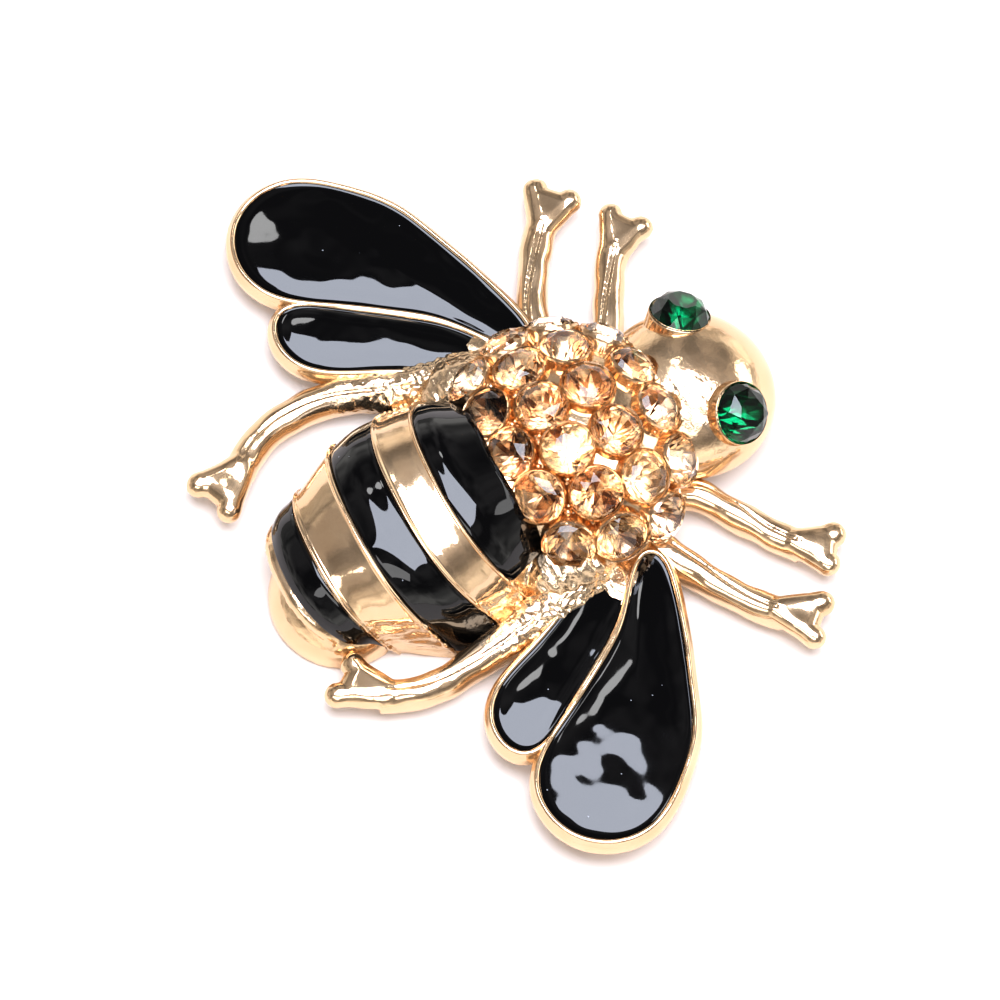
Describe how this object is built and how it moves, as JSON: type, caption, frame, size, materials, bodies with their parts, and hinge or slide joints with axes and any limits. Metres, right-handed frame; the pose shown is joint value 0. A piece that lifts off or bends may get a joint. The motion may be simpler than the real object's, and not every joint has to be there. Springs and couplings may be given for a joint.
{
  "type": "insect brooch",
  "caption": "Gold-plated bee brooch with black enamel wings and abdomen bands, champagne cut stones on the thorax, green stone eyes and a plain pin behind.",
  "frame": {"origin": "middle of the footprint, on the surface the brooch rests on", "axes": "+X to the bee's right wing, so the span runs along X; +Y to the head; +Z out of the front face, away from the pin"},
  "size_m": [0.0433, 0.03, 0.0078],
  "materials": {
    "gold_plate": "polished light champagne gold plate over a zinc alloy casting",
    "black_enamel": "glossy black cold enamel",
    "champagne_glass": "foil-backed cut glass, champagne",
    "green_glass": "foil-backed cut glass, emerald green",
    "pin_steel": "gold-plated steel wire, drawn smooth"
  },
  "bodies": {
    "root": {"casting": "gold_plate", "forewing_enamel_right": "black_enamel", "forewing_enamel_left": "black_enamel", "hindwing_enamel_right": "black_enamel", "hindwing_enamel_left": "black_enamel", "abdomen_enamel_front": "black_enamel", "abdomen_enamel_middle": "black_enamel", "abdomen_enamel_rear": "black_enamel", "eye_right": "green_glass", "eye_left": "green_glass", "pin": "pin_steel", "thorax_stone_1": "champagne_glass", "thorax_stone_2": "champagne_glass", "thorax_stone_3": "champagne_glass", "thorax_stone_4": "champagne_glass", "thorax_stone_5": "champagne_glass", "thorax_stone_6": "champagne_glass", "thorax_stone_7": "champagne_glass", "thorax_stone_8": "champagne_glass", "thorax_stone_9": "champagne_glass", "thorax_stone_10": "champagne_glass", "thorax_stone_11": "champagne_glass", "thorax_stone_12": "champagne_glass", "thorax_stone_13": "champagne_glass", "thorax_stone_14": "champagne_glass", "thorax_stone_15": "champagne_glass", "thorax_stone_16": "champagne_glass", "thorax_stone_17": "champagne_glass", "thorax_stone_18": "champagne_glass", "thorax_stone_19": "champagne_glass", "thorax_stone_20": "champagne_glass", "thorax_stone_21": "champagne_glass"}
  },
  "joints": []
}
